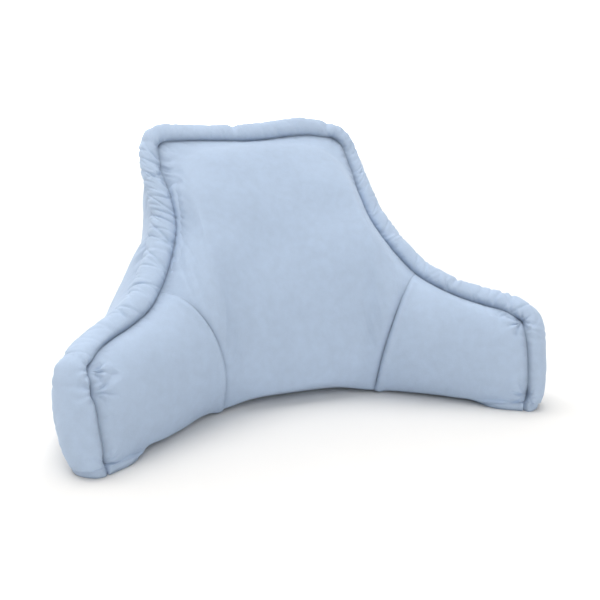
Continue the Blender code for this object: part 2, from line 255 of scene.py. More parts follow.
# One row per place where the stitching draws the cloth into a star of folds: where along the seam, how deep,
# how far the folds run, how many there are in a half turn, and how far the star is turned
STAR_COLUMNS = ("along", "depth", "length", "folds", "turned")
STARS = (
    (-0.731, 0.0065, 0.030, 4, 0.4),
    (-0.758, 0.0060, 0.030, 4, 1.6),
    (-0.868, 0.0050, 0.024, 4, 0.0),
    (-0.186, 0.0040, 0.020, 5, 0.9),
    (-0.245, 0.0035, 0.018, 4, 0.2),
    (0.172, 0.0040, 0.016, 5, 0.3),
    (0.729, 0.0070, 0.030, 4, 1.1),
    (0.846, 0.0080, 0.026, 4, 0.2),
)
STAR_MIDDLE = 0.2
STAR_SINK = 200
STAR_SINK_REACH = 0.012
SEAM_MARGIN = 0.005
SEAM_LOOK = 0.004


def named(columns, rows):
    """The rows of a table, each with its columns' names."""
    return [dict(zip(columns, row)) for row in rows]


def between(rows, slopes, i, t, span=1):
    """Values a share of the way from one row to the next, on a smooth curve through both."""
    return (
        (1 + 2 * t) * (1 - t) ** 2 * rows[i]
        + t * (1 - t) ** 2 * span * slopes[i]
        + t * t * (3 - 2 * t) * rows[i + 1]
        - t * t * (1 - t) * span * slopes[i + 1]
    )


def blend_rows(rows, knots, at):
    """Rows read at a place between the knots, along one smooth curve through them."""
    i = int(np.clip(np.searchsorted(knots, at) - 1, 0, len(knots) - 2))
    span = knots[i + 1] - knots[i]
    return between(rows, np.gradient(rows, knots, axis=0), i, (at - knots[i]) / span, span)


def refined(rows, steps, axis=0):
    """The same rows with more between them, along smooth curves through them."""
    rows = np.moveaxis(np.asarray(rows, float), axis, 0)
    at = np.arange((len(rows) - 1) * steps + 1) / steps
    i = np.minimum(at.astype(int), len(rows) - 2)
    t = (at - i).reshape(-1, *(1,) * (rows.ndim - 1))
    return np.moveaxis(between(rows, np.gradient(rows, axis=0), i, t), 0, axis)


def refined_both(grid, steps, rows):
    """The same grid with more sections and more rows in it."""
    return refined(refined(grid, steps, 0), rows, 1)


def eased(start, end, steps, ease):
    """Places from start to end, closer together near both ends as ease goes from 0 to 1."""
    even = np.linspace(0.0, 1.0, steps + 1)
    drawn = (1 - np.cos(math.pi * even)) / 2
    return start + (end - start) * ((1 - ease) * even + ease * drawn)


def unit(vectors):
    return vectors / np.linalg.norm(vectors, axis=-1, keepdims=True)


def plan_direction(turn):
    """The way from the lap to the back, turned outwards by some degrees."""
    angle = math.radians(turn)
    return np.array((math.sin(angle), math.cos(angle), 0.0))


def plump(rise, low, high):
    """The swell of a filled panel, 0 at both seams and 1 at its fullest; a low power fills that end."""
    fullest = low / (low + high)
    top = fullest ** low * (1 - fullest) ** high
    return max(rise, 0.0) ** low * max(1 - rise, 0.0) ** high / top


def stray(at, columns):
    """What the uneven places add up to at one place along the seam, for the named columns."""
    total = np.zeros(len(columns))
    for bump in named(STRAY_COLUMNS, STRAYS):
        away = (at - bump["along"]) / bump["reach"]
        total += math.exp(-away * away) * np.array([bump[column] for column in columns])
    return total


def standing_out(low, high, side, rise, amount):
    """A point part of the way from low to high, pushed out square to that line by an amount."""
    line = high - low
    square = line[2] * side - float(line @ side) * UP
    return low + rise * line + amount * unit(square)


class Cut:
    """The front and back lines of the cushion's sections, as they are cut and filled."""

    def __init__(self):
        half = np.array(SECTIONS)
        rows = np.vstack((half[:0:-1] * MIRROR_SIGNS, half))
        seam = rows[:, 2:5]
        run = np.concatenate(([0.0], np.cumsum(np.linalg.norm(np.diff(seam, axis=0), axis=1))))
        run -= run[-1] / 2
        self.arm_end = run[-1]
        self.arm_seam = run[len(half) - 1 + ARM_SEAM_ROW]
        self.stations = np.concatenate((
            eased(-self.arm_end, -self.arm_seam, ARM_STEPS, ARM_EASE),
            eased(-self.arm_seam, self.arm_seam, CENTRE_STEPS, CENTRE_EASE)[1:],
            eased(self.arm_seam, self.arm_end, ARM_STEPS, ARM_EASE)[1:],
        ))
        self.last = len(self.stations) - 1
        self.top = RISE_STEPS + 1
        self.arm_joins = (ARM_STEPS, ARM_STEPS + CENTRE_STEPS)
        lines = [self.section_lines(blend_rows(rows, run, at), at) for at in self.stations]
        self.front = np.array([pair[0] for pair in lines])
        self.back = np.array([pair[1] for pair in lines])
        rows = self.front[:, 2:self.top]
        rows[:] = self.eased_sections(rows, self.arm_joins)
        self.keep_front_under_boxing()
        self.front -= MIDDLE
        self.back -= MIDDLE

    def section_lines(self, row, at):
        """The front and the back line of one section, each from the floor up to its boxing seam."""
        value = dict(zip(COLUMNS, row))
        face, flare, tail = (plan_direction(value[turn]) for turn in ("face", "flare", "tail"))
        side = np.array((flare[1], -flare[0], 0.0)) * math.copysign(1.0, at)
        climb = (value["seam_z"] - ARM_SEAM_HEIGHT) / (TOP_SEAM_HEIGHT - ARM_SEAM_HEIGHT)
        lift = math.radians(BOXING_LIFT_ARM + climb * (BOXING_LIFT_TOP - BOXING_LIFT_ARM))
        height = BASE_HEIGHT + ARM_BASE_LIFT * (at / self.arm_end) ** ARM_BASE_POWER
        foot = np.array((value["foot_x"], value["foot_y"], height))
        heel = np.array((value["heel_x"], value["heel_y"], height))
        seam = np.array((value["seam_x"], value["seam_y"], value["seam_z"])) + stray(at, ("dx", "dy", "dz"))
        rear = seam + BOXING_WIDTH * (math.cos(lift) * flare + math.sin(lift) * UP)
        from_arm_seam = (abs(at) - self.arm_seam) / ARM_SEAM_REACH
        crown = value["crown"] - ARM_SEAM_DRAW * math.exp(-from_arm_seam ** 2)
        thinner = NECK_HOLLOW * math.exp(-((at - NECK_PLACE) / NECK_REACH) ** 2)
        front = [foot - height * UP + BASE_TUCK * face]
        back = [heel - height * UP - BASE_TUCK * tail]
        for rise in eased(0.0, 1.0, RISE_STEPS, RISE_EASE):
            swell = plump(rise, 0.5, 0.5)
            bow = ARM_END_BOW * abs(at / self.arm_end) ** ARM_BOW_POWER * swell * side
            crowned = crown * plump(rise, value["low"], value["high"])
            front.append(standing_out(foot, seam, -face, rise, crowned) + bow)
            back_swell = plump(rise, 0.5, 0.5 + thinner)
            back.append(standing_out(heel, rear, tail, rise, value["bulge"] * back_swell) + bow)
        return front, back

    def eased_sections(self, rows, held=()):
        """Values of every section eased into those of the next ones, but for the held sections."""
        rows = rows.copy()
        for _ in range(EASE_PASSES):
            before = rows.copy()
            rows[1:-1] = (before[:-2] + 2 * before[1:-1] + before[2:]) / 4
            for i in held:
                rows[i] = before[i]
        return rows

    def keep_front_under_boxing(self):
        """Drop the front's upper rows so that each lies under the next one up, seen square to the boxing."""
        path = [(0, j) for j in range(self.top)] + [(i, self.top) for i in range(self.last + 1)]
        path += [(self.last, j) for j in reversed(range(self.top))]
        middles = np.array([(self.front[i, j] + self.back[i, j]) / 2 for i, j in path])
        chords = np.array([self.back[i, j] - self.front[i, j] for i, j in path])
        outward = unit(np.cross(np.gradient(middles, axis=0), chords))[self.top:self.top + self.last + 1]
        for j in range(self.top - 1, self.top - INNER_ROWS, -1):
            over = np.sum((self.front[:, j] - self.front[:, j + 1]) * outward, axis=1) + INNER_ROW_DROP
            drop = self.eased_sections(np.maximum(over, 0.0))
            drop[[0, -1]] = 0.0
            self.front[:, j] -= drop[:, None] * outward


CUT = Cut()


def lengths(points, axis):
    """The distance along the grid lines from their first point, in metres."""
    steps = np.linalg.norm(np.diff(points, axis=axis), axis=-1)
    start = np.zeros_like(np.take(steps, [0], axis=axis))
    return np.cumsum(np.concatenate((start, steps), axis=axis), axis=axis)


def normals(points, outward):
    """The direction square to the grid at every point, on its outward side."""
    square = unit(np.cross(np.gradient(points, axis=0), np.gradient(points, axis=1)) + 1e-12)
    return square * np.sign(np.mean(np.sum(square * outward, axis=-1)))


def from_borders(points):
    """Distances along a sheet's grid lines from its top, its first section and its last section."""
    climb, run = lengths(points, 1), lengths(points, 0)
    return climb[:, -1:] - climb, run, run[-1:] - run


def fading(away, reach, power=1):
    """A share that is 1 at no distance and fades away over the reach."""
    return np.exp(-(away / reach) ** power)


def gather_profile(along, column):
    """How strong or how long the gathers are at places along the front boxing seam."""
    total = np.zeros_like(along)
    weight = np.full_like(along, 1e-6)
    for place in named(GATHER_COLUMNS, GATHERS):
        near = fading(along - place["along"], place["reach"], 2)
        total += near * place[column]
        weight += near
    return total / weight


def pleats(settings, seed):
    """Place, depth, width, length and slant of every gather that the stitching draws in along the seam."""
    rng = np.random.default_rng(seed)
    places = []
    at = -GATHER_END
    while at < GATHER_END:
        at += settings.gather_spacing * rng.uniform(0.45, 1.7)
        slant = float(gather_profile(np.array([at]), "slant")[0])
        deep, wide, long = rng.uniform(0.25, 1.0) ** 1.3, rng.uniform(0.7, 1.4), rng.uniform(0.5, 1.5)
        places.append((at, deep, wide, long, slant + rng.normal(0.0, 0.25)))
    return places


def gathered(settings, along, away, strength, length, seed):
    """Depth of the gathers at distances along a seam and away from it; none on the stitch line itself."""
    depth = np.zeros_like(along + away)
    wider = 1 + away / GATHER_WIDENING
    for place, deep, wide, long, slant in pleats(settings, seed):
        spread = settings.gather_width * wide * wider
        offset = (along - place - slant * away) / spread
        depth += deep * np.exp(-offset ** 2) * fading(away, length * long, 1.5) / np.sqrt(wider)
    rise = 1 - fading(away, settings.gather_onset, 2)
    return settings.gather_depth * strength * depth * rise


def seam_point(at):
    """The place of the front boxing seam at one distance along it, and the seam's direction there."""
    fronts, _, alongs = boxing_path_rows()
    line, along = np.concatenate(fronts), np.concatenate(alongs)
    at = np.clip(at, along[0] + SEAM_MARGIN, along[-1] - SEAM_MARGIN)
    before, here, after = (np.array([np.interp(at + step, along, line[:, k]) for k in range(3)])
                           for step in (-SEAM_LOOK, 0.0, SEAM_LOOK))
    return here, unit(after - before)


def starred(points, away, onset):
    """Depth of the stars of folds at points of a sheet, at distances away from its sewn border."""
    depth = np.zeros(points.shape[:-1])
    for star in named(STAR_COLUMNS, STARS):
        middle, way = seam_point(star["along"])
        apart = points - middle
        reach = np.linalg.norm(apart, axis=-1)
        beside = apart @ way
        turned = np.arctan2(beside, np.sqrt(np.maximum(reach ** 2 - beside ** 2, 0.0)))
        folds = np.clip(0.5 + 0.5 * np.cos(2 * star["folds"] * turned + star["turned"]), 0.0, 1.0) ** 1.5
        rise = 1 - fading(reach, onset, 2)
        depth += star["depth"] * (folds * rise * fading(reach, star["length"], 1.3)
                                  + STAR_MIDDLE * fading(reach, 2 * onset, 2))
    return depth * (1 - fading(away, onset, 2))


def sunk(points):
    """How many times as deep as elsewhere the seam's groove is at points near the middle of a star."""
    share = np.ones(points.shape[:-1])
    for star in named(STAR_COLUMNS, STARS):
        apart = np.linalg.norm(points - seam_point(star["along"])[0], axis=-1)
        share += STAR_SINK * star["depth"] * fading(apart, STAR_SINK_REACH, 2)
    return share


def crossing_folds(settings, along, travel, seed):
    """Depth of the folds across the boxing, at distances along it and across it from its front seam."""
    rng = np.random.default_rng(seed)
    depth = np.zeros_like(along + travel)
    at = -GATHER_END
    while at < GATHER_END:
        at += settings.fold_spacing * rng.uniform(0.4, 1.6)
        slant = rng.normal(0.0, 0.3)
        width = settings.fold_width * rng.uniform(0.7, 1.3)
        offset = (along - at - slant * (travel - BOXING_WIDTH / 2)) / width
        middle = (travel - rng.uniform(0.0, 0.11)) / rng.uniform(0.015, 0.06)
        depth += rng.uniform(0.4, 1.0) * np.exp(-offset ** 2 - middle ** 2)
    rise = 1 - fading(np.minimum(travel, travel[:, -1:] - travel), settings.gather_onset, 2)
    return settings.fold_depth * gather_profile(along, "roll") * depth * rise


def grid_mesh(across, upright, size=1.0):
    """A flat grid with so many cells each way."""
    bm = bmesh.new()
    bmesh.ops.create_grid(bm, x_segments=across, y_segments=upright, size=size)
    return bm


def grid_place(vert, across, upright):
    """The section and the row of its grid that a corner stands on."""
    return round((vert.co.x + 1) / 2 * across), round((vert.co.y + 1) / 2 * upright)


def pressed_out(points, outward, fullness, filling):
    """The sheet of points once its filling has pressed it out as cloth, with its border sewn down.

    The fullness tells at every point how much spare cloth there is, as a share of the most.
    """
    across, upright = points.shape[0] - 1, points.shape[1] - 1
    bm = grid_mesh(across, upright)
    places = [grid_place(vert, across, upright) for vert in bm.verts]
    for vert, (i, j) in zip(bm.verts, places):
        vert.co = points[i, j]
    bm.normal_update()
    if sum(vert.normal.dot(outward[i, j]) for vert, (i, j) in zip(bm.verts, places)) < 0:
        bmesh.ops.reverse_faces(bm, faces=bm.faces[:])
    mesh = bpy.data.meshes.new("sheet")
    bm.to_mesh(mesh)
    bm.free()
    sheet = bpy.data.objects.new("sheet", mesh)
    bpy.context.scene.collection.objects.link(sheet)
    stitches = sheet.vertex_groups.new(name="stitches")
    spare = sheet.vertex_groups.new(name="spare_cloth")
    for index, (i, j) in enumerate(places):
        if i in (0, across) or j in (0, upright):
            stitches.add([index], 1.0, "REPLACE")
        spare.add([index], float(fullness[i, j]), "REPLACE")
    modifier = sheet.modifiers.new("cloth", "CLOTH")
    cloth = modifier.settings
    cloth.mass = filling.cloth_mass
    cloth.tension_stiffness = cloth.compression_stiffness = filling.cloth_stiffness
    cloth.shear_stiffness = filling.cloth_stiffness / 3
    cloth.bending_stiffness = filling.cloth_stiffness / 10
    cloth.vertex_group_mass = stitches.name
    cloth.use_pressure = True
    cloth.uniform_pressure_force = filling.pressure
    cloth.vertex_group_shrink = spare.name
    cloth.shrink_min = 0.0
    cloth.shrink_max = -filling.spare_cloth
    cloth.effector_weights.gravity = 0.0
    modifier.collision_settings.use_collision = False
    modifier.collision_settings.use_self_collision = False
    modifier.point_cache.frame_end = filling.cloth_frames
    scene = bpy.context.scene
    for frame_number in range(1, filling.cloth_frames + 1):
        scene.frame_set(frame_number)
    shape = sheet.evaluated_get(bpy.context.evaluated_depsgraph_get()).data
    flat = np.empty(len(shape.vertices) * 3)
    shape.vertices.foreach_get("co", flat)
    result = points.copy()
    for index, (i, j) in enumerate(places):
        result[i, j] = flat[3 * index:3 * index + 3]
    bpy.data.objects.remove(sheet)
    bpy.data.meshes.remove(mesh)
    scene.frame_set(1)
    moved = result - points
    distance = np.linalg.norm(moved, axis=-1, keepdims=True) + 1e-9
    return points + moved * np.minimum(1.0, filling.cloth_cap / distance)


def dimples(points, size, depth, seed):
    """Soft uneven filling: a smooth field of shallow lumps of one size, read at the points."""
    rng = np.random.default_rng(seed)
    field = np.zeros(points.shape[:-1])
    for _ in range(14):
        way = unit(rng.normal(size=3)) * 2 * math.pi / (size * rng.uniform(0.7, 1.6))
        field += np.sin(points @ way + rng.uniform(0, 2 * math.pi))
    return depth * field / math.sqrt(14)


def closed_shell(name, outer, inner, shade):
    """A closed piece between an outer and an inner grid of points, with its seam shade on the vertices."""
    across, upright = outer.shape[0] - 1, outer.shape[1] - 1
    bm = grid_mesh(across, upright)
    made = bmesh.ops.extrude_face_region(bm, geom=bm.faces[:])
    for item in made["geom"]:
        if isinstance(item, bmesh.types.BMVert):
            item.co.z = 1.0
    layer = bm.verts.layers.float.new("seam_shade")
    for vert in bm.verts:
        i, j = grid_place(vert, across, upright)
        vert[layer] = shade[i, j]
        vert.co = outer[i, j] if vert.co.z > 0.5 else inner[i, j]
    return finished(name, bm)


def closed_tube(name, rings, shade):
    """A closed piece from rings of points, its two ends filled, with its seam shade on the vertices."""
    stations, around = rings.shape[0] - 1, rings.shape[1]
    bm = grid_mesh(stations, around)
    layer = bm.verts.layers.float.new("seam_shade")
    for vert in bm.verts:
        i, j = grid_place(vert, stations, around)
        vert[layer] = shade[i, j % around]
        vert.co = rings[i, j % around]
    bmesh.ops.remove_doubles(bm, verts=bm.verts[:], dist=1e-6)
    bmesh.ops.holes_fill(bm, edges=[edge for edge in bm.edges if edge.is_boundary], sides=0)
    return finished(name, bm)


def pad_behind(outer, depth_way, depth, slope):
    """The inner face of a pad that is deep in its middle and thin at its seams and ends."""
    rise = np.linspace(0, 1, outer.shape[1])[None, :]
    turn = np.linspace(0, 1, outer.shape[0])[:, None]
    thick = depth * np.clip(4 * rise * (1 - rise), 0, 1) ** 0.7 * np.clip(slope * turn * (1 - turn), 0, 1)
    return outer + (PAD_EDGE + thick)[..., None] * depth_way


def finished(name, bm):
    """One smooth-shaded object from a bmesh, with its faces pointing outwards."""
    bmesh.ops.recalc_face_normals(bm, faces=bm.faces[:])
    mesh = bpy.data.meshes.new(name)
    bm.to_mesh(mesh)
    bm.free()
    mesh.shade_smooth()
    piece = bpy.data.objects.new(name, mesh)
    bpy.context.scene.collection.objects.link(piece)
    return piece


def dress(piece, node, look):
    """Cover the piece in velvet, hang it under the frame's root body and hide the frame's part that it
    replaces.
    """
    piece.data.materials.append(velvet(node + "_velvet_look", look))
    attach(piece, "root")
    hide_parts(node)


def set_inputs(node, values):
    """Set the named inputs of a node."""
    for name, value in values.items():
        node.inputs[name].default_value = value


def velvet(name, settings):
    """Short-pile velvet: nap brushed in soft patches, fine pile, pale sheen and painted shade that darkens
    the colour at seams.
    """
    material = bpy.data.materials.new(name)
    material.use_nodes = True
    nodes = material.node_tree.nodes
    links = material.node_tree.links
    shader = nodes["Principled BSDF"]
    place = nodes.new("ShaderNodeTexCoord")

    def noise_at(scale, detail):
        texture = nodes.new("ShaderNodeTexNoise")
        set_inputs(texture, {"Scale": scale, "Detail": detail})
        links.new(place.outputs["Object"], texture.inputs["Vector"])
        return texture.outputs["Fac"]

    def ranged(value, low, high):
        spread = nodes.new("ShaderNodeMapRange")
        set_inputs(spread, {"From Min": 0.3, "From Max": 0.7, "To Min": low, "To Max": high})
        links.new(value, spread.inputs["Value"])
        return spread.outputs["Result"]

    def times(first, second):
        product = nodes.new("ShaderNodeMath")
        product.operation = "MULTIPLY"
        links.new(first, product.inputs[0])
        links.new(second, product.inputs[1])
        return product.outputs["Value"]

    patches = noise_at(settings.patch_scale, 3.0)
    brushing = noise_at(settings.brush_scale, 4.0)
    pile = noise_at(settings.pile_scale, 2.0)
    # Painted shade: the seam_shade attribute darkens the colour beside the seams, where shade falls
    seam = nodes.new("ShaderNodeAttribute")
    seam.attribute_name = "seam_shade"
    spread = settings.colour_spread
    tone = times(times(ranged(patches, 1 - spread, 1 + spread), ranged(brushing, 1 - spread, 1 + spread)),
                 ranged(pile, 1 - spread * 1.5, 1 + spread * 1.5))
    painted_seam_shade = nodes.new("ShaderNodeMapRange")
    set_inputs(painted_seam_shade, {"To Min": 1.0, "To Max": 1 - settings.seam_painted_shade})
    links.new(seam.outputs["Fac"], painted_seam_shade.inputs["Value"])
    colour = nodes.new("ShaderNodeVectorMath")
    colour.operation = "SCALE"
    colour.inputs[0].default_value = settings.colour[:3]
    links.new(times(tone, painted_seam_shade.outputs["Result"]), colour.inputs["Scale"])
    links.new(colour.outputs["Vector"], shader.inputs["Base Color"])
    matt = ranged(brushing, settings.roughness - 0.06, settings.roughness + 0.06)
    links.new(matt, shader.inputs["Roughness"])
    set_inputs(shader, {"Specular IOR Level": 0.2, "Sheen Weight": settings.sheen, "Sheen Roughness": 0.35,
                        "Sheen Tint": (0.80, 0.88, 1.0, 1.0)})
    grain = nodes.new("ShaderNodeBump")
    set_inputs(grain, {"Strength": 0.5, "Distance": 0.0004})
    links.new(pile, grain.inputs["Height"])
    crush = nodes.new("ShaderNodeBump")
    set_inputs(crush, {"Strength": 0.22, "Distance": 0.0025})
    links.new(brushing, crush.inputs["Height"])
    links.new(grain.outputs["Normal"], crush.inputs["Normal"])
    links.new(crush.outputs["Normal"], shader.inputs["Normal"])
    return material


def boxing_path_rows():
    """Front line, back line and places of the boxing, each up one arm end, over and down the other."""
    top = CUT.top
    front, back = ([line[0, 1:], line[:, top], line[-1, :0:-1]] for line in (CUT.front, CUT.back))
    left_drop, right_drop = front[0][-1, 2] - front[0][:, 2], front[2][0, 2] - front[2][:, 2]
    return front, back, [-CUT.arm_end - left_drop, CUT.stations, CUT.arm_end + right_drop]


def number(name, description, default, low, high, **kind):
    """A number that a user may change, with its least and most."""
    return FloatProperty(name=name, description=description, default=default, min=low, max=high, **kind)


def metres(*values):
    """A length that a user may change."""
    return number(*values, unit="LENGTH")


def portion(*values):
    """A share that a user may change."""
    return number(*values, subtype="FACTOR")


class VelvetSettings(bpy.types.PropertyGroup):
    """The look of the velvet."""

    colour: FloatVectorProperty(
        name="Velvet Colour", description="Colour of the pile", subtype="COLOR", size=4, min=0.0, max=1.0,
        default=(0.465, 0.570, 0.725, 1.0),
    )
    roughness: portion("Roughness", "How matt the pile is", 0.85, 0.1, 1.0)
    sheen: portion("Sheen", "Pale glow at grazing light", 0.35, 0.0, 1.0)
    colour_spread: portion("Colour Spread", "How much the brushed nap changes the colour", 0.03, 0.0, 0.3)
    patch_scale: number("Patch Scale", "Fineness of the brushed patches", 9.0, 1.0, 50.0)
    brush_scale: number("Brush Scale", "Fineness of the brush marks", 70.0, 10.0, 300.0)
    pile_scale: number("Pile Scale", "Fineness of the pile", 1400.0, 300.0, 4000.0)
    # Painted shade: how far the colour is darkened down in the seams, where shade falls
    seam_painted_shade: portion("Seam Darkening", "How much deeper the colour is down in the seams",
                            0.35, 0.0, 1.0)


class SewingSettings(bpy.types.PropertyGroup):
    """The seams and their gathers."""

    groove_depth: metres("Groove Depth", "How far the stitching draws a seam in", 0.0075, 0.0, 0.02)
    groove_reach: metres("Groove Reach", "How wide the drawn-in groove is on each side", 0.006, 0.001, 0.05)
    join_depth: portion("Arm Seam Depth", "Depth of the arms' seams, as a share of a groove's", 0.9, 0.0, 1.0)
    join_ridge: metres("Arm Seam Ridge", "How far the arm panel swells up beside its seam", 0.0022, 0.0, 0.01)
    gather_depth: metres("Gather Depth", "Depth of a gather of common strength", 0.0072, 0.0, 0.01)
    gather_spacing: metres("Gather Spacing", "Usual distance from one gather to the next",
                           0.0115, 0.003, 0.05)
    gather_width: metres("Gather Width", "Half width of a gather at the stitching", 0.0030, 0.001, 0.02)
    gather_onset: metres("Gather Onset", "Distance from the stitches over which a gather deepens",
                         0.004, 0.001, 0.02)
    fold_depth: metres("Fold Depth", "Depth of a fold across the boxing", 0.0017, 0.0, 0.01)
    fold_spacing: metres("Fold Spacing", "Usual distance between folds across the boxing",
                         0.0085, 0.003, 0.05)
    fold_width: metres("Fold Width", "Half width of a fold across the boxing", 0.0030, 0.001, 0.02)


class FillingSettings(bpy.types.PropertyGroup):
    """How the filling fills the panels."""

    lump_size: metres("Lump Size", "Distance between soft lumps of the filling", 0.11, 0.02, 0.5)
    lump_depth: metres("Lump Depth", "How far the lumps stand out", 0.0014, 0.0, 0.01)
    pressure: number("Filling Pressure", "How hard the filling presses", 16.0, 0.0, 100.0)
    spare_cloth: portion("Spare Cloth", "Most spare length of the cloth, as a share", 0.3, 0.0, 0.6)
    cloth_mass: number("Cloth Mass", "Mass of each point of the cloth", 0.02, 0.001, 1.0)
    cloth_stiffness: number("Cloth Stiffness", "How hard the cloth stretches", 5.0, 0.5, 50.0)
    cloth_frames: IntProperty(
        name="Cloth Frames", description="Frames of the pressing out", default=12, min=2, max=60,
    )
    cloth_cap: metres("Cloth Cap", "Furthest that a point of the cloth may move", 0.006, 0.001, 0.03)
    pad_depth: metres("Pad Depth", "Depth of a panel's filling behind its face", 0.035, 0.005, 0.1)


class StageSettings(bpy.types.PropertyGroup):
    """Floor, light and camera."""

    key_strength: number("Overhead Light", "Strength of the wide overhead light", 2.75, 0.0, 20.0)
    fill_strength: number("Front Light", "Strength of the wide front light", 1.15, 0.0, 20.0)
    room_light: number("Room Light", "Strength of the white room light", 0.17, 0.0, 5.0)


def covered_front():
    """The front lines from their lowest row up, which turns under to the floor but near the arm ends."""
    lines = CUT.front[:, 1:].copy()
    tucked = tucked_foot() + FRONT_TUCK_HEIGHT * UP
    bare = bare_share()
    lines[:, 0] = bare * lines[:, 0] + (1 - bare) * tucked
    lines[:, 1] -= (1 - bare) * FRONT_DROP * UP
    lines[:, 2] -= (1 - bare) * FRONT_DROP / 3 * UP
    return lines


def bare_share():
    """How far the base shows under the front at every section: 0 where it is covered, 1 near the arm ends."""
    bare = np.clip((np.abs(CUT.stations) - BARE_BASE_START) / BARE_BASE_FADE, 0, 1)
    return (bare * bare * (3 - 2 * bare))[:, None]


def tucked_foot():
    """Where the front meets the floor once its lower edge has turned under."""
    inward = CUT.back[:, 0] - CUT.front[:, 0]
    return CUT.front[:, 0] + (1 - bare_share()) * FRONT_TUCK * unit(inward)


def panel_piece(name, first, last, settings):
    """The pressed-out and gathered face of one front panel, closed by its pad behind."""
    sewing, filling = settings
    panel = dict(zip(PANEL_COLUMNS, PANELS[name]))
    steps, rows = panel["steps"], panel["rows"]
    coarse = covered_front()[first:last + 1]
    depth_way = unit(refined_both(CUT.back[first:last + 1, 1:] - coarse, steps, rows))
    sheet = refined_both(coarse, steps, rows)
    out = normals(sheet, -depth_way)
    along = refined(CUT.stations[first:last + 1], steps)[:, None]
    from_top, from_left, from_right = from_borders(sheet)
    strength, length = gather_profile(along, "panel"), gather_profile(along, "length")
    move = -gathered(sewing, along, from_top, strength, length, FRONT_PLEATS)
    full = strength * fading(from_top, SLACK_REACH)
    arm = name != "front_centre"
    if arm:
        away, edge = (from_left, sheet[0]) if "left_end" in panel["sides"] else (from_right, sheet[-1])
        place = math.copysign(1.0, along[0, 0]) * (CUT.arm_end + edge[-1, 2] - edge[:, 2])[None, :]
        strength, length = gather_profile(place, "panel"), gather_profile(place, "length")
        top_share = 1 / (1 + np.exp((from_top - away) / TIP_BLEND))
        at_end = gathered(sewing, place, away, strength, length, FRONT_PLEATS)
        move = top_share * move - (1 - top_share) * at_end
        full = np.maximum(full, strength * fading(away, SLACK_REACH))
    border = np.minimum(from_top, np.minimum(from_left, from_right))
    move -= starred(sheet, border, sewing.gather_onset)
    lumps = dimples(sheet, filling.lump_size, filling.lump_depth, panel["seed"])
    move += lumps * np.clip(from_top / LUMP_ONSET, 0, 1)
    move[[0, -1]] = 0.0
    sheet = sheet + move[..., None] * out
    pressed = pressed_out(sheet, out, np.clip(panel["slack"] * full, 0.02, 1), filling)
    outer = refined(sheet + panel["swell"] * (pressed - sheet), 2, 1)
    depth_way = unit(refined(depth_way, 2, 1))
    out = normals(outer, -depth_way)
    from_top, from_left, from_right = from_borders(outer)
    groove = fading(from_top, sewing.groove_reach, GROOVE_POWER)
    # Painted shade beside the seams, passed on to the velvet as seam_shade
    shade = fading(from_top, SHADE_REACH)
    ridge = np.zeros_like(groove)
    rise = np.linspace(0, 1, outer.shape[1])[None, :]
    for side in panel["sides"]:
        away = from_left if side.startswith("left") else from_right
        if side.endswith("end"):
            groove = np.maximum(groove, fading(away, sewing.groove_reach, GROOVE_POWER))
            shade = np.maximum(shade, fading(away, END_SHADE_REACH))
            continue
        drawn = sewing.join_depth * np.clip(2.2 - 2.2 * rise, 0.12, 1) * np.clip(4 * rise, 0.1, 1)
        width = sewing.groove_reach * panel["join_width"]
        groove = np.maximum(groove, drawn * fading(away, width, JOIN_POWER))
        shade = np.maximum(shade, np.minimum(1.3 * drawn, 1.0) * fading(away, JOIN_SHADE_REACH))
        if arm:
            ridge += sewing.join_ridge * fading(away - 0.009, 0.006, 2) * np.clip(4 * (1 - rise), 0, 1)
    groove = sewing.groove_depth * groove * sunk(outer)
    outer = outer + ridge[..., None] * out + groove[..., None] * depth_way
    inner = pad_behind(outer, depth_way, filling.pad_depth, PANEL_PAD_SLOPE)
    return closed_shell(name, outer, inner, shade)


def make_front(settings):
    """The centre panel and both arm panels."""
    left, right = CUT.arm_joins
    sections = {"front_centre": (left, right), "arm_left": (0, left), "arm_right": (right, CUT.last)}
    for name, (first, last) in sections.items():
        yield name, panel_piece(name, first, last, settings)


def joined(parts, steps):
    """Lists of rows refined and joined end to end."""
    fine = [refined(part, step) for part, step in zip(parts, steps)]
    return np.concatenate([fine[0]] + [part[1:] for part in fine[1:]])


def with_feet(line):
    """The line with more rows at both ends, which go straight down to the floor."""
    first, last = line[:1], line[-1:]
    down = [first * LEVEL + share * (first - first * LEVEL) for share in FOOT_SHARES]
    up = [last * LEVEL + share * (last - last * LEVEL) for share in reversed(FOOT_SHARES)]
    return np.vstack(down + [line] + up)


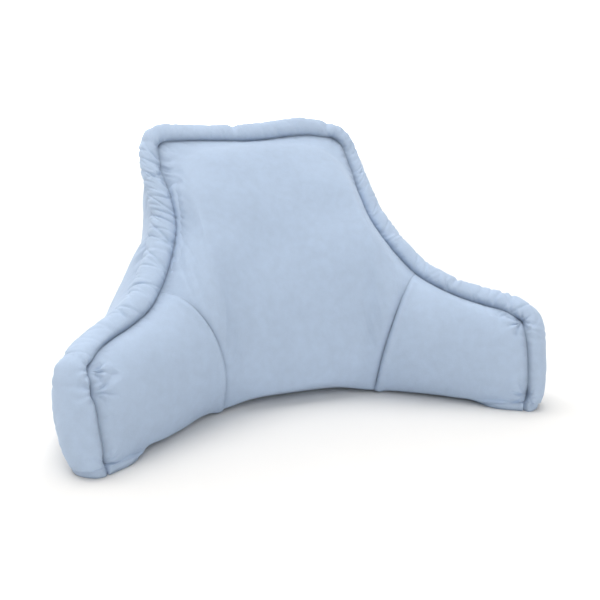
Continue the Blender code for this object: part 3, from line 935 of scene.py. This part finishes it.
def make_boxing(settings):
    """The puffed strip with its pinches and crossing folds."""
    sewing, filling = settings
    front, back, along = (joined(parts, BOXING_STEPS) for parts in boxing_path_rows())
    front, back = with_feet(front), with_feet(back)
    feet = FOOT_STEP * np.array((1, 2))
    along = np.concatenate((along[0] - feet[::-1], along, along[-1] + feet))
    chord = back - front
    run = np.gradient((front + back) / 2, axis=0)
    for _ in range(EASE_PASSES):
        run[1:-1] = (run[:-2] + 2 * run[1:-1] + run[2:]) / 4
    outward = unit(np.cross(run, chord))
    outward[[0, -1]] = unit(outward[[0, -1]] * LEVEL)
    turn = np.pi * np.arange(BOXING_ARC_STEPS + 1) / BOXING_ARC_STEPS
    arch = np.clip(np.sin(turn), 0.0, 1.0)
    puff = BOXING_PUFF + np.array([stray(at, ("puff",))[0] for at in along])
    near_floor = np.clip(1 - front[:, 2] / FLOOR_ROUND_HEIGHT, 0, 1)
    puff = puff * (1 - FLOOR_ROUND * near_floor ** 2)
    sheet = (
        front[:, None] + ((1 - np.cos(turn)) / 2)[:, None] * chord[:, None]
        + (puff[:, None] * arch)[..., None] * outward[:, None]
    )
    out = normals(sheet, outward[:, None])
    travel = lengths(sheet, 1)
    from_back = travel[:, -1:] - travel
    place = along[:, None]
    strength = gather_profile(place, "roll")
    short = BOXING_GATHER_LENGTH
    move = -crossing_folds(sewing, place, travel, BOXING_FOLDS)
    move -= FRONT_GATHER_SHARE * gathered(sewing, place, travel, strength, short, FRONT_PLEATS)
    move -= BACK_GATHER_SHARE * gathered(sewing, place, from_back, strength, short, BACK_PLEATS)
    star = starred(sheet, travel, sewing.gather_onset)
    move -= BOXING_STAR_SHARE * star * np.clip(1 - travel / BOXING_STAR_END, 0, 1)
    for pinch in named(PINCH_COLUMNS, PINCHES):
        beside = (place - pinch["along"] - PINCH_SLANT * (travel - PINCH_PIVOT)) / pinch["reach"]
        across = (travel - pinch["across"] * travel[:, -1:]) / pinch["spread"]
        move -= pinch["depth"] * np.exp(-beside ** 2 - across ** 2) * arch ** 0.5
    move += dimples(sheet, BOXING_LUMP_SIZE, filling.lump_depth * 0.6, BOXING_LUMPS) * arch
    full = np.clip(strength / 2, 0.1, 1) * np.ones_like(travel)
    sheet = pressed_out(sheet + move[..., None] * out, out, full, filling)
    outer = refined_both(sheet, 2, 2)
    outward = unit(refined(outward, 2))
    depth_way = unit(refined(chord, 2))
    travel = lengths(outer, 1)
    from_back = travel[:, -1:] - travel
    groove_front = fading(travel, sewing.groove_reach, GROOVE_POWER)
    groove_back = fading(from_back, sewing.groove_reach, GROOVE_POWER)
    groove = sewing.groove_depth * (groove_front * sunk(outer) - groove_back)
    outer = outer + groove[..., None] * depth_way[:, None]
    across = np.array((0.8, 0.6, 0.4, 0.2))
    hollow = BOXING_HOLLOW * 4 * across * (1 - across)
    inside = outer[:, :1] + across[:, None] * (outer[:, -1:] - outer[:, :1])
    inside = inside - hollow[:, None] * outward[:, None]
    rings = np.concatenate((outer, inside), axis=1)
    rings[..., 2] = np.maximum(rings[..., 2], 0.0)
    # Painted shade beside both seams of the strip, passed on to the velvet as seam_shade
    shade = fading(np.minimum(travel, from_back), SHADE_REACH)
    shade = np.concatenate((shade, np.ones(inside.shape[:2])), axis=1)
    return closed_tube("boxing_strip", rings, shade)


def make_back(settings):
    """The panel behind, drawn in at the boxing seam."""
    sewing, filling = settings
    coarse = CUT.back[:, 1:]
    sheet = refined_both(coarse, BACK_STEPS, BACK_ROWS)
    depth_way = -unit(refined_both(coarse - CUT.front[:, 1:], BACK_STEPS, BACK_ROWS))
    out = normals(sheet, -depth_way)
    from_top = from_borders(sheet)[0]
    away = np.minimum.reduce(from_borders(sheet))
    along = refined(CUT.stations, BACK_STEPS)[:, None]
    lumps = dimples(sheet, BACK_LUMP_SIZE, filling.lump_depth * 1.5, BACK_LUMPS)
    move = lumps * np.clip(away / LUMP_ONSET, 0, 1)
    move -= gathered(sewing, along, from_top, 0.8, 0.03, BACK_PLEATS)
    full = np.clip(0.6 * fading(away, SLACK_REACH), 0.05, 1)
    outer = refined(pressed_out(sheet + move[..., None] * out, out, full, filling), 2, 0)
    depth_way = unit(refined(depth_way, 2, 0))
    away = np.minimum.reduce(from_borders(outer))
    groove = sewing.groove_depth * fading(away, sewing.groove_reach, GROOVE_POWER)
    outer = outer + groove[..., None] * depth_way
    inner = pad_behind(outer, depth_way, filling.pad_depth, BACK_PAD_SLOPE)
    # Painted shade beside the seams, passed on to the velvet as seam_shade
    return closed_shell("back_panel", outer, inner, fading(away, SHADE_REACH))


def make_base(settings):
    """The flat underside with its low turned-up edge."""
    front = CUT.front[:, :2] + (tucked_foot() - CUT.front[:, 0])[:, None]
    depth = np.linspace(0, 1, 9)[None, :, None]
    under, over = ((1 - depth) * front[:, row, None] + depth * CUT.back[:, row, None] for row in (0, 1))
    outer, inner = (refined_both(face, 4, 3) for face in (under, over))
    return closed_shell("base_panel", outer, inner, np.zeros(outer.shape[:2]))


class CUSHION_OT_front_panels(bpy.types.Operator):
    """Sew the centre panel and the two arm panels"""

    bl_idname = "cushion.front_panels"
    bl_label = "Front Panels"

    def execute(self, context):
        scene = context.scene
        for name, piece in make_front((scene.cushion_sewing, scene.cushion_filling)):
            dress(piece, name, scene.cushion_velvet)
        return {"FINISHED"}


class CUSHION_OT_boxing_strip(bpy.types.Operator):
    """Sew the puffed strip round the edge"""

    bl_idname = "cushion.boxing_strip"
    bl_label = "Boxing Strip"

    def execute(self, context):
        scene = context.scene
        piece = make_boxing((scene.cushion_sewing, scene.cushion_filling))
        dress(piece, "boxing_strip", scene.cushion_velvet)
        return {"FINISHED"}


class CUSHION_OT_back_and_base(bpy.types.Operator):
    """Sew the back panel and the base panel"""

    bl_idname = "cushion.back_and_base"
    bl_label = "Back and Base Panels"

    def execute(self, context):
        scene = context.scene
        settings = (scene.cushion_sewing, scene.cushion_filling)
        for name, make in (("back_panel", make_back), ("base_panel", make_base)):
            dress(make(settings), name, scene.cushion_velvet)
        return {"FINISHED"}


def add_wide_light(name, place, strength):
    """A soft even light from a wide part of the sky; azimuth 0 is from the lap side, 90 from the right."""
    elevation, azimuth, width = place
    data = bpy.data.lights.new(name, "SUN")
    data.angle = math.radians(width)
    data.energy = strength
    light = bpy.data.objects.new(name, data)
    light.rotation_euler = (math.radians(90 - elevation), 0.0, math.radians(azimuth))
    bpy.context.scene.collection.objects.link(light)


def add_backdrop(paper):
    """A glowing white wall far behind, so that the floor fades into white."""
    bm = grid_mesh(1, 1)
    for vert in bm.verts:
        vert.co = (vert.co.x * WALL_HALF_WIDTH, WALL_PLACE, vert.co.y * WALL_HALF_HEIGHT + WALL_MIDDLE)
    wall = finished("backdrop", bm)
    glow = paper.copy()
    glow.name = "glowing_paper"
    shader = glow.node_tree.nodes["Principled BSDF"]
    set_inputs(shader, {"Emission Color": (1.0, 1.0, 1.0, 1.0), "Emission Strength": WALL_GLOW})
    wall.data.materials.append(glow)


class CUSHION_OT_stage(bpy.types.Operator):
    """Set the floor, the lights and the camera"""

    bl_idname = "cushion.stage"
    bl_label = "Stage"

    def execute(self, context):
        scene = context.scene
        stage = scene.cushion_stage
        floor = finished("floor", grid_mesh(1, 1, FLOOR_SIZE))
        floor.location.z = -FLOOR_DROP
        paper = bpy.data.materials.new("white_paper")
        paper.use_nodes = True
        set_inputs(paper.node_tree.nodes["Principled BSDF"],
                   {"Base Color": PAPER_COLOUR, "Roughness": 0.9, "Specular IOR Level": 0.1})
        floor.data.materials.append(paper)
        world = bpy.data.worlds.new("white_room")
        world.use_nodes = True
        set_inputs(world.node_tree.nodes["Background"],
                   {"Color": (1.0, 1.0, 1.0, 1.0), "Strength": stage.room_light})
        scene.world = world
        add_backdrop(paper)
        add_wide_light("overhead_light", OVERHEAD_LIGHT, stage.key_strength)
        add_wide_light("front_light", FRONT_LIGHT, stage.fill_strength)
        scene.view_settings.view_transform = "Standard"
        data = bpy.data.cameras.new("camera")
        data.lens = CAMERA_LENS
        data.sensor_width = CAMERA_SENSOR
        camera = bpy.data.objects.new("camera", data)
        camera.location = CAMERA_PLACE
        tilt = math.radians(90.0) - math.radians(CAMERA_DIP)
        camera.rotation_euler = (tilt, 0.0, math.radians(CAMERA_AZIMUTH))
        scene.collection.objects.link(camera)
        scene.camera = camera
        return {"FINISHED"}


class CUSHION_PT_panel(bpy.types.Panel):
    """The cushion's sizes, looks and steps"""

    bl_label = "Bed-Rest Cushion"
    bl_idname = "CUSHION_PT_panel"
    bl_space_type = "VIEW_3D"
    bl_region_type = "UI"
    bl_category = "Cushion"

    def draw(self, context):
        scene = context.scene
        for group in (scene.cushion_velvet, scene.cushion_sewing, scene.cushion_filling, scene.cushion_stage):
            box = self.layout.box()
            for key in group.bl_rna.properties.keys():
                if key not in ("rna_type", "name"):
                    box.prop(group, key)
        for step in STEPS:
            self.layout.operator(step.bl_idname)


SETTINGS = {
    "cushion_velvet": VelvetSettings,
    "cushion_sewing": SewingSettings,
    "cushion_filling": FillingSettings,
    "cushion_stage": StageSettings,
}
STEPS = (CUSHION_OT_front_panels, CUSHION_OT_boxing_strip, CUSHION_OT_back_and_base, CUSHION_OT_stage)
CLASSES = (*SETTINGS.values(), *STEPS, CUSHION_PT_panel)


def register():
    for kind in CLASSES:
        bpy.utils.register_class(kind)
    for name, group in SETTINGS.items():
        setattr(bpy.types.Scene, name, PointerProperty(type=group))


def unregister():
    for name in SETTINGS:
        delattr(bpy.types.Scene, name)
    for kind in reversed(CLASSES):
        bpy.utils.unregister_class(kind)


def main():
    register()
    bpy.ops.cushion.front_panels()
    bpy.ops.cushion.boxing_strip()
    bpy.ops.cushion.back_and_base()
    bpy.ops.cushion.stage()


if __name__ == "__main__":
    main()
